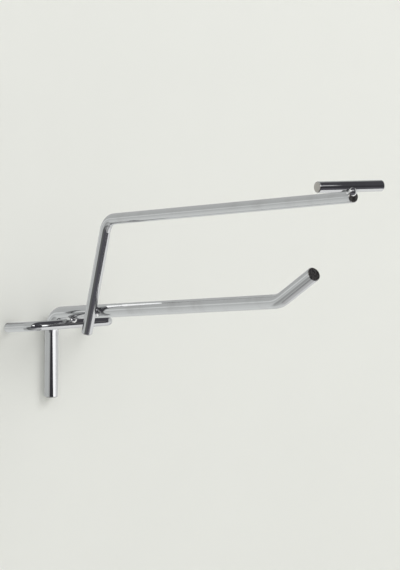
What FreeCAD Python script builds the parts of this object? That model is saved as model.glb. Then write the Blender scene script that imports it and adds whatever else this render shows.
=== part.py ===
# Pegboard hook of four bright steel wires, welded where they cross.
#
# A thick prong carries the goods. A crossbar wire under it has two pegs that go through the board and turn up
# behind it, and the prong's own leg bears on the board's face. A thinner arm rises beside the prong and runs
# along above it, and a short bar across the arm's end carries the price tag.
#
# The pegs, the prong's run and the arm are parallel and climb away from the board, so every wire is drawn in
# the slope's own frame: X along the board, Y along the pegs into the board, Z square to both. The placement
# then turns that frame about X by the climb. The origin is midway between the pegs, on the board's face.
import FreeCAD, Part
import Sketcher
import math
import os

Vector = FreeCAD.Vector

# Driving sizes, in millimetres and degrees.
SIZES = [
    ("climb", "7.8", "slope of pegs, prong and arm above level"),
    ("peg_pitch", "50", "between the axes of the two pegs"),
    ("peg_depth", "7.9", "board's face to the turned-up end's axis, along the peg"),
    ("peg_height", "22", "turned-up end above the peg's axis"),
    ("peg_bend", "5.5", "bend behind the board, at the wire's axis"),
    ("bar_wire", "5", "diameter of the crossbar wire"),
    ("bar_out", "22.2", "board's face to the crossbar's axis, along the peg"),
    ("bar_bend", "5", "corner between peg and crossbar, at the wire's axis"),
    ("prong_wire", "7", "diameter of the prong wire"),
    ("prong_reach", "229.7", "board's face to the tip's end, along the slope"),
    ("leg_drop", "38.2", "leg's foot below the pegs' axes, along the leg"),
    ("leg_bend", "11", "bend from leg to run, at the wire's axis"),
    ("tip_turn", "23.2", "turn of the tip above the run"),
    ("tip_length", "30.5", "tip, from the corner of its axis to its end"),
    ("tip_bend", "20", "bend from run to tip, at the wire's axis"),
    ("arm_wire", "5.6", "diameter of the arm wire"),
    ("arm_spacing", "46.3", "prong's axis to arm's axis, square to the slope"),
    ("arm_reach", "270.7", "board's face to the arm's end, along the slope"),
    ("arm_bend", "9.5", "bend from upright to arm, at the wire's axis"),
    ("upright_out", "49.3", "board's face to where the upright crosses the prong, along the slope"),
    ("upright_lean", "23.8", "lean of the upright away from the board, from square to the slope"),
    ("upright_foot", "12.1", "upright below the prong's axis, along itself"),
    ("tag_wire", "5.3", "diameter of the tag bar"),
    ("tag_length", "38", "length of the tag bar"),
    ("tag_tilt", "1", "droop of the tag bar's right end, as it was welded"),
    ("wire_sink", "0.35", "how far crossing wires sink into each other at a weld"),
    ("tag_sink", "0.55", "how far the tag bar sinks into the arm at its weld"),
    ("end_break", "0.4", "broken edge of the cut wire ends"),
    ("bead_radius", "3.1", "weld metal of two crossing wires, from the middle of the crossing"),
    ("tongue_radius", "2.6", "weld metal of the tag bar, from its own middle"),
    ("tongue_proud", "1.1", "weld metal of the tag bar beyond the arm's end"),
    ("tongue_drop", "0.5", "middle of the tag bar's weld below the top of the arm"),
]

# Places that follow from the driving sizes, in the slope's frame.
PLACES = [
    ("sine", "=sin(climb * 1 deg)", "of the climb"),
    ("cosine", "=cos(climb * 1 deg)", "of the climb"),
    ("peg_x", "=peg_pitch / 2", "peg's axis from the middle"),
    ("peg_top_y", "=peg_depth - peg_height * sine", "top of the turned-up end"),
    ("peg_top_z", "=peg_height * cosine", "top of the turned-up end"),
    ("run_z", "=(bar_wire + prong_wire) / 2 - wire_sink", "prong's run"),
    ("foot_y", "=leg_drop * sine - prong_wire / 2 / cosine", "leg's foot"),
    ("foot_z", "=-leg_drop * cosine", "leg's foot"),
    ("leg_top_y", "=-(prong_wire / 2 + run_z * sine) / cosine", "corner between leg and run"),
    ("tip_y", "=tip_length * cos(tip_turn * 1 deg) - prong_reach", "corner between run and tip"),
    ("tip_z", "=run_z + tip_length * sin(tip_turn * 1 deg)", "tip's end"),
    ("arm_x", "=wire_sink - (prong_wire + arm_wire) / 2", "plane of the upright and the arm"),
    ("arm_z", "=run_z + arm_spacing", "arm"),
    ("heel_y", "=upright_foot * sin(upright_lean * 1 deg) - upright_out", "upright's foot"),
    ("heel_z", "=run_z - upright_foot * cos(upright_lean * 1 deg)", "upright's foot"),
    ("knee_y", "=-upright_out - arm_spacing * tan(upright_lean * 1 deg)", "corner between upright and arm"),
    ("tag_y", "=tag_wire / 2 - arm_reach", "tag bar's axis, its front flush with the arm's end"),
    ("tag_z", "=arm_z + (arm_wire + tag_wire) / 2 - tag_sink", "tag bar's axis"),
    ("bar_weld_z", "=(bar_wire - wire_sink) / 2", "middle of the prong's weld on the crossbar"),
    ("arm_weld_x", "=(wire_sink - prong_wire) / 2", "middle of the upright's weld on the prong"),
    ("tongue_y", "=tongue_radius - tongue_proud - arm_reach", "middle of the tag bar's weld"),
    ("tongue_z", "=arm_z + arm_wire / 2 - tongue_drop", "middle of the tag bar's weld"),
]


def make_sheet(doc):
    """The spreadsheet that every sketch, feature and placement reads."""
    sheet = doc.addObject("Spreadsheet::Sheet", "Sizes")
    for row, (alias, content, note) in enumerate(SIZES + PLACES, start=1):
        sheet.set("A%d" % row, note)
        sheet.set("B%d" % row, content)
        sheet.setAlias("B%d" % row, alias)
    doc.recompute()
    return sheet


doc = FreeCAD.newDocument("PegboardHook")
sheet = make_sheet(doc)


def number(cell):
    """A cell's value, with the sign that stands before its alias; nothing where no cell is named."""
    if cell is None:
        return 0.0
    sign = -1.0 if cell.startswith("-") else 1.0
    return sign * float(sheet.get(cell.lstrip("-")))


def bind(thing, path, cell):
    """Ties a property to a cell, with the sign that stands before its alias."""
    sign = "-" if cell.startswith("-") else ""
    thing.setExpression(path, "%sSizes.%s" % (sign, cell.lstrip("-")))


def make_body(name, sideways=None):
    """An empty body in the slope's frame, moved along the board by the cell sideways."""
    body = doc.addObject("PartDesign::Body", name)
    body.Placement = FreeCAD.Placement(Vector(), FreeCAD.Rotation(Vector(-1, 0, 0), number("climb")))
    bind(body, ".Placement.Rotation.Angle", "climb")
    if sideways:
        bind(body, ".Placement.Base.x", sideways)
    return body


def origin_plane(body, role):
    """One of a body's own origin planes."""
    return next(item for item in body.Origin.OriginFeatures if item.Role == role)


def plane_sketch(body, name, role):
    """An empty sketch on one of the body's origin planes."""
    sketch = body.newObject("Sketcher::SketchObject", name)
    sketch.AttachmentSupport = [(origin_plane(body, role), "")]
    sketch.MapMode = "FlatFace"
    return sketch


def dimension(sketch, kind, where, cell):
    """A dimension of a sketch that reads a cell."""
    index = sketch.addConstraint(Sketcher.Constraint(kind, *where, number(cell)))
    bind(sketch, "Constraints[%d]" % index, cell)


def fix_point(sketch, point, place):
    """Puts a point of a sketch at two cells, measured from its origin, or on an axis where no cell is named."""
    for kind, axis, cell in zip(("DistanceX", "DistanceY"), (-2, -1), place):
        if cell is None:
            sketch.addConstraint(Sketcher.Constraint("PointOnObject", *point, axis))
        else:
            dimension(sketch, kind, (-1, 1) + point, cell)


def corner_arc(before, corner, after, radius):
    """The arc that rounds a corner, where it meets the two runs, and which of its ends comes first."""
    back = (before - corner).normalize()
    ahead = (after - corner).normalize()
    half = back.getAngle(ahead) / 2
    entry = corner + back * (radius / math.tan(half))
    leave = corner + ahead * (radius / math.tan(half))
    centre = corner + (back + ahead).normalize() * (radius / math.sin(half))
    turns_left = ahead.cross(back).z > 0
    first, last = (entry, leave) if turns_left else (leave, entry)
    angles = [math.atan2(p.y - centre.y, p.x - centre.x) for p in (first, last)]
    arc = Part.ArcOfCircle(Part.Circle(centre, Vector(0, 0, 1), radius), *angles)
    return arc, entry, leave, (1, 2) if turns_left else (2, 1)


def centre_line(body, name, role, corners, bends):
    """A wire's axis: straight runs between corners, and a tangent arc at each corner between two runs."""
    sketch = plane_sketch(body, name, role)
    points = [Vector(number(x), number(y), 0) for x, y in corners]
    rounds = [corner_arc(*points[k:k + 3], number(bend)) for k, bend in enumerate(bends)]
    starts = points[:1] + [leave for arc, entry, leave, ends in rounds]
    stops = [entry for arc, entry, leave, ends in rounds] + points[-1:]
    runs = [sketch.addGeometry(Part.LineSegment(a, b)) for a, b in zip(starts, stops)]
    fix_point(sketch, (runs[0], 1), corners[0])
    fix_point(sketch, (runs[-1], 2), corners[-1])
    for k, (arc, entry, leave, (first, last)) in enumerate(rounds):
        bend = sketch.addGeometry(arc)
        peak = sketch.addGeometry(Part.Point(points[k + 1]), True)
        fix_point(sketch, (peak, 1), corners[k + 1])
        sketch.addConstraint(Sketcher.Constraint("PointOnObject", peak, 1, runs[k]))
        sketch.addConstraint(Sketcher.Constraint("PointOnObject", peak, 1, runs[k + 1]))
        sketch.addConstraint(Sketcher.Constraint("Tangent", runs[k], 2, bend, first))
        sketch.addConstraint(Sketcher.Constraint("Tangent", bend, last, runs[k + 1], 1))
        dimension(sketch, "Radius", (bend,), bends[k])
    return sketch


def round_section(sketch, wire):
    """A wire's round section, about the sketch's origin."""
    circle = sketch.addGeometry(Part.Circle(Vector(), Vector(0, 0, 1), number(wire) / 2))
    sketch.addConstraint(Sketcher.Constraint("Coincident", circle, 3, -1, 1))
    dimension(sketch, "Diameter", (circle,), wire)


def bent_wire(body, name, path, wire):
    """A round wire along a centre line."""
    section = body.newObject("Sketcher::SketchObject", name + "_section")
    section.AttachmentSupport = [(path, "Edge1")]
    section.MapMode = "NormalToEdge"
    round_section(section, wire)
    pipe = body.newObject("PartDesign::AdditivePipe", name)
    pipe.Profile = section
    pipe.Spine = (path, [])
    doc.recompute()
    return pipe


def break_ends(body, name, wire, ends):
    """Breaks the sharp edge round each cut end of a wire; ends are points on the wire's axis."""
    base = body.Tip
    rims = []
    for index, edge in enumerate(base.Shape.Edges, start=1):
        is_rim = isinstance(edge.Curve, Part.Circle) and abs(edge.Curve.Radius - number(wire) / 2) < 1e-6
        if is_rim and any(edge.Curve.Center.distanceToPoint(end) < 1e-6 for end in ends):
            rims.append("Edge%d" % index)
    if len(rims) != len(ends):
        raise RuntimeError("%s: %d cut ends found, not %d" % (name, len(rims), len(ends)))
    chamfer = body.newObject("PartDesign::Chamfer", name)
    chamfer.Base = (base, rims)
    bind(chamfer, "Size", "end_break")


def path_ends(path):
    """The two end points of a centre line, in its body's frame."""
    wire = Part.Wire(Part.__sortEdges__(path.Shape.Edges))
    return [wire.OrderedVertexes[0].Point, wire.OrderedVertexes[-1].Point]


def make_prong():
    """The goods prong: leg on the board's face, run up the slope and turned-up tip."""
    body = make_body("prong_wire")
    corners = [("foot_y", "foot_z"), ("leg_top_y", "run_z"), ("tip_y", "run_z"), ("-prong_reach", "tip_z")]
    path = centre_line(body, "prong_path", "YZ_Plane", corners, ["leg_bend", "tip_bend"])
    bent_wire(body, "prong_bent", path, "prong_wire")
    break_ends(body, "prong_ends", "prong_wire", path_ends(path))
    return body


def make_crossbar():
    """The crossbar: a square bow in the pegs' plane, and pegs that turn up along the board's back."""
    body = make_body("crossbar_wire")
    bow = [("-peg_x", None), ("-peg_x", "-bar_out"), ("peg_x", "-bar_out"), ("peg_x", None)]
    bow_path = centre_line(body, "bow_path", "XY_Plane", bow, ["bar_bend", "bar_bend"])
    bent_wire(body, "bow_bent", bow_path, "bar_wire")
    peg = [(None, None), ("peg_depth", None), ("peg_top_y", "peg_top_z")]
    peg_path = centre_line(body, "peg_path", "YZ_Plane", peg, ["peg_bend"])
    bind(peg_path, ".AttachmentOffset.Base.z", "peg_x")
    doc.recompute()
    right_peg = bent_wire(body, "right_peg", peg_path, "bar_wire")
    both_pegs = body.newObject("PartDesign::Mirrored", "both_pegs")
    both_pegs.Originals = [right_peg]
    both_pegs.MirrorPlane = (origin_plane(body, "YZ_Plane"), [""])
    body.Tip = both_pegs
    doc.recompute()
    top = max(path_ends(peg_path), key=lambda point: point.z)
    break_ends(body, "peg_ends", "bar_wire", [top, Vector(-top.x, top.y, top.z)])
    return body


def make_arm():
    """The price arm: upright beside the prong, knee, and arm along the slope above it."""
    body = make_body("arm_wire", "arm_x")
    corners = [("heel_y", "heel_z"), ("knee_y", "arm_z"), ("-arm_reach", "arm_z")]
    path = centre_line(body, "arm_path", "YZ_Plane", corners, ["arm_bend"])
    bent_wire(body, "arm_bent", path, "arm_wire")
    break_ends(body, "arm_ends", "arm_wire", path_ends(path))
    return body


def make_tag_bar():
    """The tag bar: a straight cut of wire across the arm's end."""
    body = make_body("tag_wire", "arm_x")
    section = plane_sketch(body, "tag_section", "YZ_Plane")
    section.AttachmentOffset = FreeCAD.Placement(Vector(), FreeCAD.Rotation(Vector(1, 0, 0), number("tag_tilt")))
    bind(section, ".AttachmentOffset.Base.x", "tag_y")
    bind(section, ".AttachmentOffset.Base.y", "tag_z")
    bind(section, ".AttachmentOffset.Rotation.Angle", "tag_tilt")
    round_section(section, "tag_wire")
    bar = body.newObject("PartDesign::Pad", "tag_straight")
    bar.Profile = section
    bar.SideType = "Symmetric"
    bind(bar, "Length", "tag_length")
    doc.recompute()
    rims = [edge.Curve.Center for edge in bar.Shape.Edges if isinstance(edge.Curve, Part.Circle)]
    break_ends(body, "tag_ends", "tag_wire", rims)
    return body


def make_weld(name, role, place, radius):
    """Weld metal as a drop about the middle of a crossing, set on the origin plane that lies between the wires."""
    body = make_body(name + "_metal")
    drop = body.newObject("PartDesign::AdditiveSphere", name + "_drop")
    drop.AttachmentSupport = [(origin_plane(body, role), "")]
    drop.MapMode = "FlatFace"
    bind(drop, "Radius", radius)
    for axis, cell in zip("xyz", place):
        if cell:
            bind(drop, ".AttachmentOffset.Base." + axis, cell)
    return body


def seat(name, piece, *neighbours):
    """A piece less the neighbours that it was pressed against, so that it seats on them face to face."""
    for step, neighbour in enumerate(neighbours, start=1):
        cut = doc.addObject("Part::Cut", "%s_seat_%d" % (name, step))
        cut.Base = piece
        cut.Tool = neighbour
        piece = cut
    piece.Label = name
    return piece


def build():
    """Every piece of the hook, each seated on the pieces made before it."""
    prong = make_prong()
    prong.Label = "hook_prong"
    crossbar = seat("peg_crossbar", make_crossbar(), prong)
    arm = seat("price_arm", make_arm(), prong)
    tag_bar = seat("tag_bar", make_tag_bar(), arm)
    under_prong = (None, "-bar_out", "bar_weld_z")
    beside_prong = ("-upright_out", "run_z", "arm_weld_x")
    at_arm_end = ("arm_x", "tongue_y", "tongue_z")
    bar_weld = make_weld("weld_crossbar", "XY_Plane", under_prong, "bead_radius")
    upright_weld = make_weld("weld_upright", "YZ_Plane", beside_prong, "bead_radius")
    tag_weld = make_weld("weld_tag_bar", "XY_Plane", at_arm_end, "tongue_radius")
    return [
        prong,
        crossbar,
        arm,
        tag_bar,
        seat("weld_crossbar", bar_weld, prong, crossbar),
        seat("weld_upright", upright_weld, prong, arm),
        seat("weld_tag_bar", tag_weld, arm, tag_bar),
    ]


pieces = build()
doc.recompute()
for item in doc.Objects:
    if "Invalid" in item.State or "Error" in item.State:
        raise RuntimeError("%s did not build: %s" % (item.Label, item.State))
for piece in pieces:
    if piece.Shape.isNull() or not piece.Shape.isValid() or len(piece.Shape.Solids) != 1:
        raise RuntimeError("%s is not one sound solid" % piece.Label)

os.makedirs("parts", exist_ok=True)
for piece in pieces:
    piece.Shape.exportStep("parts/%s.step" % piece.Label)
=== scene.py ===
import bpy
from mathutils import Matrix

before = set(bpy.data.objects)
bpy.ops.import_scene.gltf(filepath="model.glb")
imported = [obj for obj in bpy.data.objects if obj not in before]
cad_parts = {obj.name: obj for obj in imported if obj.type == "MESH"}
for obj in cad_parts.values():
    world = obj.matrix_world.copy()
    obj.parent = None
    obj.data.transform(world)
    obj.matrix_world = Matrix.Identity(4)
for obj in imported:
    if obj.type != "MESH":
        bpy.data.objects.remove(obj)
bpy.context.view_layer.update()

import math

import bpy
from bpy.props import FloatProperty, FloatVectorProperty, PointerProperty
from mathutils import Matrix, Vector

bl_info = {
    "name": "Pegboard Hook Finish",
    "version": (1, 0, 0),
    "blender": (4, 5, 0),
    "location": "View3D > Sidebar > Hook",
    "description": "Plates the wires and welds of a pegboard hook and sets up a studio around it",
    "category": "Object",
}

# How far the runs and the tip climb above level, and how far the upright leans from straight up.
CLIMB = math.radians(7.8)
TIP_RISE = math.radians(31.0)
UPRIGHT_LEAN = math.radians(16.0)

UP = Vector((0, 0, 1))
DOWN = -UP
RIGHT = Vector((1, 0, 0))
LEFT = -RIGHT
TOWARDS_WALL = Vector((0, 1, 0))
OUT_ALONG_ARM = Vector((0, -math.cos(CLIMB), math.sin(CLIMB)))
OUT_ALONG_TIP = Vector((0, -math.cos(TIP_RISE), math.sin(TIP_RISE)))
DOWN_UPRIGHT = Vector((0, math.sin(UPRIGHT_LEAN), -math.cos(UPRIGHT_LEAN)))
OFF_SLOPE = Vector((0, math.sin(CLIMB), math.cos(CLIMB)))

# Each wire: its node, its radius, the directions its cut ends face, and how stained they are.
WIRES = [
    ("hook_prong", 0.0035, (DOWN, OUT_ALONG_TIP), 0.85),
    ("price_arm", 0.0028, (DOWN_UPRIGHT, OUT_ALONG_ARM), 0.85),
    ("peg_crossbar", 0.0025, (UP,), 0.4),
    ("tag_bar", 0.00265, (LEFT, RIGHT), 0.12),
]
WELDS = ["weld_crossbar", "weld_upright", "weld_tag_bar"]

# Grain sizes and relief depths of the finishes, in metres.
CLOUD_SIZE = 0.012
SHEAR_SIZE = 0.0006
MOTTLE_SIZE = 0.05
LINE_RELIEF = 0.00002
RIPPLE_RELIEF = 0.0003

# The strength of all relief, and how grain is drawn out along the axes.
RELIEF_STRENGTH = 0.25
EVEN = (1, 1, 1)
ALONG_WIRE = (0.01, 0.01, 0.01)
SHEARED = (1, 1, 0.15)

# Fine drawing lines to a broad one, pits to a ripple, and the share of the cut depth in which the
# finish changes.
FINE_PER_BROAD = 4
PITS_PER_RIPPLE = 3
CUT_FADE = 1 / 3

# How much of a colour is left in its dark parts.
STAIN_SHADE = 0.25
# The weld's pits keep this share of their colour: painted shade in their hollows.
PAINTED_PIT_SHADE = 0.5
MOTTLE_SHADE = 0.98

# Colours of the room in front of the hook and towards the wall, as the plating sees them.
BLACK = (0.0, 0.0, 0.0, 1.0)
FRONT_TINT = (1.0, 0.97, 1.1, 1.0)
WALL_TINT = (0.98, 1.0, 0.985, 1.0)

# The middle of the room's pale side, and its dim corner low in front on the left.
PALE_SIDE = (-0.5, 0.866, 0)
LOW_FRONT_LEFT = (-0.8, -0.4, -1.2)

# The room and its key lamp, in metres.
ROOM_HALF_WIDTH = 2.0
WALL_TOP = 1.5
FLOOR_REACH = 3.0
KEY_PLACE = (0.6, -1.2, 1.0)
KEY_TARGET = (0, -0.1, 0)
KEY_SIZE = 0.8

# The height of the camera's sensor, in millimetres.
SENSOR_HEIGHT = 36.0

# Each sheet under the hook that the plating mirrors, all at one height: its name, its level and its
# corners in plan, anticlockwise as seen from above.
SHELF_HEIGHT = -0.351
SHELVES = [
    ("shelf", 1.1, [(0.2, -0.52), (1.5, -0.52), (1.5, -0.05), (0.2, -0.05)]),
    ("shelf_back", 0.95, [(0.2, -0.05), (1.5, -0.05), (1.5, 0.2), (0.2, 0.2)]),
    ("shelf_mid", 0.72, [(-0.05, -0.52), (0.2, -0.52), (0.2, -0.05), (-0.05, -0.05)]),
    ("shelf_near", 0.55, [(-0.12, -0.4), (-0.05, -0.52), (-0.05, -0.05), (-0.12, -0.05)]),
    ("shelf_end", 0.36, [(-0.35, -0.2), (-0.12, -0.4), (-0.12, -0.05), (-0.35, -0.05)]),
]

# Each standing card that the plating mirrors: its name, its level and its corners, anticlockwise as
# seen from its front.
CARDS = [
    ("dim_panel", 0.22, [
        (0.22, -0.21, -0.005), (0.1, -0.21, -0.02),
        (0.1, -0.21, 0.07), (0.22, -0.21, 0.06)]),
    ("lamp_face", 2.0, [
        (-0.771, -1.252, 0.43), (-1.107, -0.968, 0.43),
        (-0.989, -0.828, 0.83), (-0.653, -1.112, 0.83)]),
]

# Each small lamp that only shows in the plating: its name, its level, the ends of its middle line, its
# width and the way it faces.
GLINTS = [
    ("leg_strip", 1.6, (0.0092, -0.02, -0.045), (0.0004, -0.02, 0.003), 0.0164, TOWARDS_WALL),
    ("leg_side", 0.6, (0.028, -0.02, -0.045), (0.0192, -0.02, 0.003), 0.021, TOWARDS_WALL),
    ("streak_foot", 1.3, (-0.0036, -0.0552, 0.0171), (-0.0035, -0.064, 0.0216), 0.0024, DOWN),
    ("streak_run", 1.3, (-0.0035, -0.064, 0.0216), (-0.0034, -0.086, 0.0327), 0.0042, DOWN),
    ("bar_glint", 1.8, (-0.0099, -0.038, 0.001), (-0.0099, -0.038, 0.009), 0.005, TOWARDS_WALL),
    ("tag_strip", 0.65, (-0.03, -0.286, 0.1092), (0.009, -0.286, 0.1098), 0.01, TOWARDS_WALL),
]


class PlatingSettings(bpy.types.PropertyGroup):
    """The bright plating of the wires."""

    tint: FloatVectorProperty(
        name="Plating", description="Colour of the bright plating", subtype="COLOR", size=3,
        default=(0.57, 0.575, 0.58), min=0, max=1)
    shade: FloatVectorProperty(
        name="Plating, thin", description="Colour where the plating is thin", subtype="COLOR", size=3,
        default=(0.5, 0.5, 0.5), min=0, max=1)
    gloss: FloatProperty(
        name="Roughness", description="Roughness of the plating between drawing lines", subtype="FACTOR",
        default=0.07, min=0, max=1)
    line_width: FloatProperty(
        name="Drawing line", description="Width of the lines that the drawing die left", unit="LENGTH",
        default=0.0004, min=0.00005, max=0.01, precision=5)
    cut_tint: FloatVectorProperty(
        name="Cut end", description="Colour of the plated cut ends", subtype="COLOR", size=3,
        default=(0.45, 0.43, 0.4), min=0, max=1)
    cut_depth: FloatProperty(
        name="Cut depth", description="How far the cut finish reaches from a wire's end", unit="LENGTH",
        default=0.0003, min=0, max=0.01, precision=5)


class WeldSettings(bpy.types.PropertyGroup):
    """The plated weld metal at the crossings."""

    tint: FloatVectorProperty(
        name="Weld", description="Colour of the plated weld metal", subtype="COLOR", size=3,
        default=(0.75, 0.75, 0.75), min=0, max=1)
    gloss: FloatProperty(
        name="Roughness", description="Roughness of the weld metal", subtype="FACTOR",
        default=0.08, min=0, max=1)
    ripple: FloatProperty(
        name="Ripple", description="Size of the ripples in the weld metal", unit="LENGTH",
        default=0.0018, min=0.0001, max=0.01, precision=5)


class StudioSettings(bpy.types.PropertyGroup):
    """Wall, floor, light and camera."""

    wall: FloatVectorProperty(
        name="Wall", description="Colour of the wall behind the hook", subtype="COLOR", size=3,
        default=(0.83, 0.837, 0.8), min=0, max=1)
    floor: FloatVectorProperty(
        name="Floor", description="Colour of the floor", subtype="COLOR", size=3,
        default=(0.8, 0.8, 0.79), min=0, max=1)
    floor_drop: FloatProperty(
        name="Floor", description="Floor below the pegs", unit="LENGTH", default=0.4, min=0.05, max=2)
    light: FloatVectorProperty(
        name="Light", description="Colour of the even light on the wall and the floor", subtype="COLOR",
        size=3, default=(0.85, 0.85, 0.84), min=0, max=1)
    key_power: FloatProperty(
        name="Key lamp", description="Power of the key lamp, in watts", default=6.0, min=0, max=1000)
    azimuth: FloatProperty(
        name="Azimuth", description="Camera to the left of straight in front", subtype="ANGLE",
        default=math.radians(36.2005), min=-math.pi, max=math.pi)
    elevation: FloatProperty(
        name="Elevation", description="Camera above level", subtype="ANGLE",
        default=math.radians(6.4156), min=-1.5, max=1.5)
    roll: FloatProperty(
        name="Roll", description="Turn of the camera about its own axis", subtype="ANGLE",
        default=math.radians(0.868), min=-math.pi, max=math.pi)
    distance: FloatProperty(
        name="Distance", description="Camera from the point it looks at", unit="LENGTH",
        default=1.69752, min=0.1, max=10)
    aim: FloatVectorProperty(
        name="Aim", description="Point the camera looks at", subtype="XYZ", unit="LENGTH", size=3,
        default=(0.004767, -0.127866, 0.033475))
    lens: FloatProperty(
        name="Lens", description="Focal length, for a picture 36 mm high", unit="CAMERA",
        default=216.761, min=10, max=1000)


class Term:
    """A shader socket that takes part in Python arithmetic; each step adds a Math node."""

    def __init__(self, finish, socket):
        self.finish = finish
        self.socket = socket

    def __add__(self, other):
        return self.finish.maths("ADD", self, other)

    __radd__ = __add__

    def __sub__(self, other):
        return self.finish.maths("SUBTRACT", self, other)

    def __rsub__(self, other):
        return self.finish.maths("SUBTRACT", other, self)

    def __mul__(self, other):
        return self.finish.maths("MULTIPLY", self, other)

    __rmul__ = __mul__


class Finish:
    """A node tree being written, for a material or the world."""

    def __init__(self, owner):
        owner.use_nodes = True
        self.tree = owner.node_tree
        self.tree.nodes.clear()

    def node(self, kind, settings=None, inputs=None, output=0):
        """Adds a node: its settings first, then the values or links of its sockets."""
        made = self.tree.nodes.new(kind)
        for name, value in (settings or {}).items():
            setattr(made, name, value)
        for key, value in (inputs or {}).items():
            if isinstance(value, Term):
                self.tree.links.new(value.socket, made.inputs[key])
            else:
                made.inputs[key].default_value = value
        return Term(self, made.outputs[output]) if made.outputs else made

    def maths(self, operation, first, second):
        return self.node("ShaderNodeMath", {"operation": operation}, {0: first, 1: second})

    def ramp(self, term, low, high):
        """From 0 at low to 1 at high, smoothly."""
        inputs = {"Value": term, "From Min": low, "From Max": high}
        return self.node("ShaderNodeMapRange", {"interpolation_type": "SMOOTHSTEP"}, inputs)

    def mix(self, factor, first, second):
        """A colour between two colours."""
        inputs = {0: factor, 6: first, 7: second}
        return self.node("ShaderNodeMix", {"data_type": "RGBA"}, inputs, output=2)

    def place(self):
        """The point on the surface, in metres."""
        return self.node("ShaderNodeTexCoord", output="Object")

    def dot(self, first, second):
        settings = {"operation": "DOT_PRODUCT"}
        return self.node("ShaderNodeVectorMath", settings, {0: first, 1: second}, output="Value")

    def stretched(self, size, stretch):
        """The point in units of a grain size, drawn out along the axes whose stretch is small."""
        inputs = {0: self.place(), 1: [part / size for part in stretch]}
        return self.node("ShaderNodeVectorMath", {"operation": "MULTIPLY"}, inputs)

    def noise(self, vector, detail=2.0):
        inputs = {"Vector": vector, "Scale": 1.0, "Detail": detail}
        return self.node("ShaderNodeTexNoise", None, inputs)

    def lengthwise(self, radius, size):
        """Lines along a round wire, set apart by the way its surface faces, that change slowly."""
        facing = self.node("ShaderNodeNewGeometry", output="Normal")
        inputs = {0: facing, "Scale": radius / size}
        around = self.node("ShaderNodeVectorMath", {"operation": "SCALE"}, inputs)
        inputs = {0: around, 1: self.stretched(size, ALONG_WIRE)}
        return self.noise(self.node("ShaderNodeVectorMath", {"operation": "ADD"}, inputs))

    def surface(self, shader):
        self.node("ShaderNodeOutputMaterial", None, {"Surface": shader})

    def metal_surface(self, colour, rough, relief, depth):
        """Metal whose relief has a depth in metres."""
        bump_inputs = {"Strength": RELIEF_STRENGTH, "Distance": depth, "Height": relief}
        normal = self.node("ShaderNodeBump", None, bump_inputs)
        inputs = {"Base Color": colour, "Metallic": 1.0, "Roughness": rough, "Normal": normal}
        self.surface(self.node("ShaderNodeBsdfPrincipled", None, inputs))

    def one_sided(self, shader):
        """A shader on the front of a sheet; seen from behind, the sheet isn't there."""
        clear = self.node("ShaderNodeBsdfTransparent")
        behind = self.node("ShaderNodeNewGeometry", output="Backfacing")
        return self.node("ShaderNodeMixShader", None, {0: behind, 1: shader, 2: clear})


def opaque(colour, share=1.0):
    """A colour, or a share of it, with full alpha."""
    return (*[part * share for part in colour], 1.0)


def node_reach(name, direction):
    """How far a CAD node reaches along a direction."""
    return max(vertex.co.dot(direction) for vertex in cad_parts[name].data.vertices)


def dress(name, material):
    """Gives a CAD node one material."""
    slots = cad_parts[name].data.materials
    slots.clear()
    slots.append(material)


def plating(name, radius, ends, stained, look):
    """Bright plating with drawing lines along the wire and duller, sheared ends."""
    material = bpy.data.materials.new("plating_" + name)
    finish = Finish(material)
    fine_lines = finish.lengthwise(radius, look.line_width)
    broad_lines = finish.lengthwise(radius, look.line_width * FINE_PER_BROAD)
    clouds = finish.noise(finish.stretched(CLOUD_SIZE, EVEN), detail=3.0)
    cut = 0.0
    for direction in ends:
        start = node_reach(name, direction) - look.cut_depth
        along = finish.dot(finish.place(), direction)
        cut = finish.ramp(along, start, start + look.cut_depth * CUT_FADE) + cut
    shear = finish.noise(finish.stretched(SHEAR_SIZE, SHEARED), detail=4.0)
    thin = finish.ramp(clouds * 0.6 + broad_lines * 0.4, 0.45, 0.75)
    skin = finish.mix(thin, opaque(look.tint), opaque(look.shade))
    stain = finish.ramp(shear, 0.4, 0.6) * stained
    cut_face = finish.mix(stain, opaque(look.cut_tint), opaque(look.cut_tint, STAIN_SHADE))
    colour = finish.mix(cut, skin, cut_face)
    rough = look.gloss + fine_lines * 0.05 + thin * 0.03 + cut * (0.16 + shear * 0.1)
    relief = fine_lines * 0.25 + broad_lines * 0.5 + cut * shear * 12.0
    finish.metal_surface(colour, rough, relief, LINE_RELIEF)
    return material


def weld_metal(look):
    """Plated weld metal, rippled and pitted, with painted shade darkening its pits."""
    material = bpy.data.materials.new("plated_weld_metal")
    finish = Finish(material)
    ripple = finish.noise(finish.stretched(look.ripple, EVEN), detail=1.0)
    pits = finish.noise(finish.stretched(look.ripple / PITS_PER_RIPPLE, EVEN))
    pits = finish.ramp(pits, 0.6, 0.75)
    # The pits are painted darker than the rest of the weld metal: painted shade in their hollows.
    colour = finish.mix(pits, opaque(look.tint), opaque(look.tint, PAINTED_PIT_SHADE))
    rough = look.gloss + ripple * 0.1 + pits * 0.15
    finish.metal_surface(colour, rough, ripple - pits * 0.3, RIPPLE_RELIEF)
    return material


def matt_paint(name, colour, front_only=False):
    """Faintly mottled matt paint, on both sides of a sheet or on its front only."""
    material = bpy.data.materials.new(name)
    finish = Finish(material)
    mottle = finish.noise(finish.stretched(MOTTLE_SIZE, EVEN))
    paint = finish.mix(mottle, opaque(colour), opaque(colour, MOTTLE_SHADE))
    shader = finish.node("ShaderNodeBsdfDiffuse", None, {"Color": paint})
    finish.surface(finish.one_sided(shader) if front_only else shader)
    return material


def stage_card(name, corners, material):
    """A flat four-cornered sheet of the studio."""
    mesh = bpy.data.meshes.new(name)
    mesh.from_pydata(corners, [], [(0, 1, 2, 3)])
    mesh.materials.append(material)
    card = bpy.data.objects.new(name, mesh)
    bpy.context.scene.collection.objects.link(card)
    return card


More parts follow.
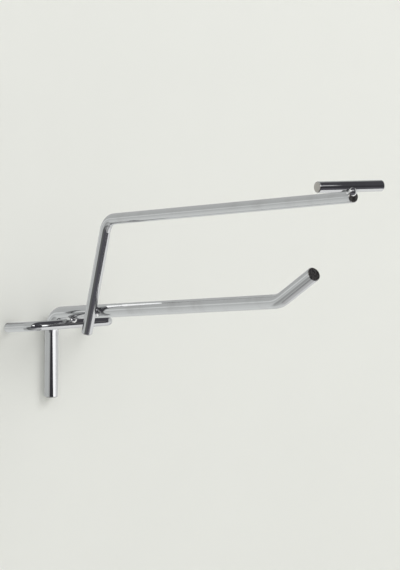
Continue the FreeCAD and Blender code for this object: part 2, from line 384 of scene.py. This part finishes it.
def build_room(studio):
    """The wall behind the hook and the floor under it; neither shows in the plating."""
    left, right, front, back = -ROOM_HALF_WIDTH, ROOM_HALF_WIDTH, -FLOOR_REACH, FLOOR_REACH
    drop = -studio.floor_drop
    upright = [(left, 0, drop), (right, 0, drop), (right, 0, WALL_TOP), (left, 0, WALL_TOP)]
    wall = stage_card("wall", upright, matt_paint("wall_paint", studio.wall, front_only=True))
    ground = [(left, front, drop), (right, front, drop), (right, back, drop), (left, back, drop)]
    floor = stage_card("floor", ground, matt_paint("floor_paint", studio.floor))
    wall.visible_glossy = floor.visible_glossy = False


def show_only_mirrored(thing):
    """Hides a card or a lamp from everything but the plating."""
    thing.visible_camera = False
    thing.visible_diffuse = False
    thing.visible_transmission = False


def reflector(name, level, corners):
    """A card that only shows in the plating: it casts no shadow and lights nothing else."""
    material = bpy.data.materials.new(name)
    finish = Finish(material)
    finish.surface(finish.one_sided(finish.node("ShaderNodeEmission", None, {"Strength": level})))
    card = stage_card(name, corners, material)
    show_only_mirrored(card)
    card.visible_shadow = False


def wall_level(finish, direction):
    """How bright the plating sees the room towards the wall."""
    off_slope = finish.dot(direction, OFF_SLOPE)
    leftwards = finish.dot(direction, LEFT)
    inwards = finish.dot(direction, TOWARDS_WALL)
    height = finish.dot(direction, UP)
    on_left = finish.ramp(leftwards, 0.0, 0.3)
    on_right = finish.ramp(leftwards, -0.2, -0.5)
    far_right = finish.ramp(leftwards, -0.62, -0.8)
    # Dimmer above the slope of the wires than below it, with a brighter band on the left.
    band = finish.ramp(off_slope, -0.02, 0.06) - finish.ramp(off_slope, 0.14, 0.22)
    level = 0.9 - finish.ramp(off_slope, -0.6, 0.15) * 0.24
    level = level + band * on_left * 0.3 - on_right * 0.1 + far_right * 0.22
    # A dim corner low in front, and a dim strip low on the left that is paler at its foot.
    corner = finish.ramp(finish.dot(direction, LOW_FRONT_LEFT), 0.95, 1.2)
    corner = corner * finish.ramp(inwards, 0.3, 0.1)
    strip = finish.ramp(height, -0.36, -0.52) * on_left
    strip = strip * finish.ramp(inwards, 0.7, 0.6) * finish.ramp(inwards, 0.1, 0.3)
    strip_depth = 0.45 - finish.ramp(height, -0.68, -0.76) * 0.15
    return level * (1.0 - corner * 0.8) * (1.0 - strip * strip_depth)


def front_level(finish, direction):
    """How bright the plating sees the room in front of it: dim, and dimmest at its own height."""
    height = finish.dot(direction, UP)
    dimmest = finish.ramp(height, -0.4, -0.12) - finish.ramp(height, -0.08, 0.3) * 0.5
    return 0.13 - dimmest * 0.08


def light_world(light):
    """Even soft light; the plating sees a pale room towards the wall and a dark one in front of it."""
    world = bpy.data.worlds.new("studio")
    bpy.context.scene.world = world
    finish = Finish(world)
    direction = finish.node("ShaderNodeTexCoord", output="Generated")
    near_wall = finish.ramp(finish.dot(direction, PALE_SIDE), -0.1, 0.06)
    # The far right belongs to the pale side too.
    near_wall = near_wall + finish.ramp(finish.dot(direction, RIGHT), 0.8, 0.92)
    front = finish.mix(front_level(finish, direction), BLACK, FRONT_TINT)
    side = finish.mix(wall_level(finish, direction), BLACK, WALL_TINT)
    room = finish.mix(near_wall, front, side)
    glossy = finish.node("ShaderNodeLightPath", output="Is Glossy Ray")
    seen = finish.mix(glossy, opaque(light), room)
    background = finish.node("ShaderNodeBackground", None, {"Color": seen})
    finish.node("ShaderNodeOutputWorld", None, {0: background})


def placed(place, right, top, back):
    """The matrix of a lamp or a camera at a place, from its own axes."""
    return Matrix.Translation(place) @ Matrix((right, top, back)).transposed().to_4x4()


def area_lamp(name, length, width, power):
    """A flat lamp, still to be placed."""
    data = bpy.data.lights.new(name, "AREA")
    data.shape = "RECTANGLE"
    data.size = length
    data.size_y = width
    data.energy = power
    lamp = bpy.data.objects.new(name, data)
    bpy.context.scene.collection.objects.link(lamp)
    return lamp


def key_lamp(power):
    """The soft lamp that lights the room; it doesn't show in the plating."""
    lamp = area_lamp("key", KEY_SIZE, KEY_SIZE, power)
    lamp.location = KEY_PLACE
    ahead = Vector(KEY_TARGET) - Vector(KEY_PLACE)
    lamp.rotation_euler = ahead.to_track_quat("-Z", "Y").to_euler()
    lamp.visible_glossy = False


def glint_lamp(name, level, start, end, width, facing):
    """A small flat lamp that only shows in the plating."""
    start, end = Vector(start), Vector(end)
    length = (end - start).length
    along = (end - start).normalized()
    back = (along * along.dot(facing) - facing).normalized()
    # A flat lamp is as bright as its power over pi times its area.
    lamp = area_lamp(name, length, width, level * math.pi * length * width)
    lamp.matrix_world = placed((start + end) / 2, along, back.cross(along), back)
    show_only_mirrored(lamp)


def aim_camera(studio):
    """The camera of the photograph."""
    turn, rise = studio.azimuth, -studio.elevation
    across = math.cos(rise)
    ahead = Vector((math.sin(turn) * across, math.cos(turn) * across, math.sin(rise)))
    level = ahead.cross(UP).normalized()
    upright = level.cross(ahead)
    right = level * math.cos(studio.roll) + upright * math.sin(studio.roll)
    data = bpy.data.cameras.new("camera")
    data.sensor_fit = "VERTICAL"
    data.sensor_height = SENSOR_HEIGHT
    data.lens = studio.lens
    camera = bpy.data.objects.new("camera", data)
    place = Vector(studio.aim) - ahead * studio.distance
    camera.matrix_world = placed(place, right, right.cross(ahead), -ahead)
    bpy.context.scene.collection.objects.link(camera)
    bpy.context.scene.camera = camera


class HOOK_OT_plate_wires(bpy.types.Operator):
    """Plates the prong, the arm, the crossbar and the tag bar"""

    bl_idname = "hook.plate_wires"
    bl_label = "Plate Wires"

    def execute(self, context):
        look = context.scene.hook_plating
        for name, radius, ends, stained in WIRES:
            dress(name, plating(name, radius, ends, stained, look))
        return {"FINISHED"}


class HOOK_OT_plate_welds(bpy.types.Operator):
    """Gives the weld metal its rippled plating"""

    bl_idname = "hook.plate_welds"
    bl_label = "Plate Welds"

    def execute(self, context):
        material = weld_metal(context.scene.hook_weld)
        for name in WELDS:
            dress(name, material)
        return {"FINISHED"}


class HOOK_OT_build_studio(bpy.types.Operator):
    """Builds the wall, the floor, the reflectors, the lamps and the camera"""

    bl_idname = "hook.build_studio"
    bl_label = "Build Studio"

    def execute(self, context):
        studio = context.scene.hook_studio
        build_room(studio)
        for name, level, plan in SHELVES:
            reflector(name, level, [(x, y, SHELF_HEIGHT) for x, y in plan])
        for card in CARDS:
            reflector(*card)
        for glint in GLINTS:
            glint_lamp(*glint)
        light_world(studio.light)
        key_lamp(studio.key_power)
        aim_camera(studio)
        bpy.context.scene.view_settings.view_transform = "Standard"
        return {"FINISHED"}


class HOOK_PT_sidebar(bpy.types.Panel):
    """Lists the steps of the hook's finish and what can be changed in them"""

    bl_label = "Pegboard Hook"
    bl_idname = "HOOK_PT_sidebar"
    bl_space_type = "VIEW_3D"
    bl_region_type = "UI"
    bl_category = "Hook"

    def draw(self, context):
        for operator, group in STEPS:
            box = self.layout.box()
            box.operator("hook." + operator)
            settings = getattr(context.scene, group)
            for name in settings.__annotations__:
                box.prop(settings, name)


STEPS = [
    ("plate_wires", "hook_plating"),
    ("plate_welds", "hook_weld"),
    ("build_studio", "hook_studio"),
]
SETTINGS = {
    "hook_plating": PlatingSettings,
    "hook_weld": WeldSettings,
    "hook_studio": StudioSettings,
}
CLASSES = [
    PlatingSettings,
    WeldSettings,
    StudioSettings,
    HOOK_OT_plate_wires,
    HOOK_OT_plate_welds,
    HOOK_OT_build_studio,
    HOOK_PT_sidebar,
]


def register():
    for kind in CLASSES:
        bpy.utils.register_class(kind)
    for name, group in SETTINGS.items():
        setattr(bpy.types.Scene, name, PointerProperty(type=group))


def unregister():
    for name in SETTINGS:
        delattr(bpy.types.Scene, name)
    for kind in reversed(CLASSES):
        bpy.utils.unregister_class(kind)


def main():
    register()
    for operator, _ in STEPS:
        getattr(bpy.ops.hook, operator)()


if __name__ == "__main__":
    main()
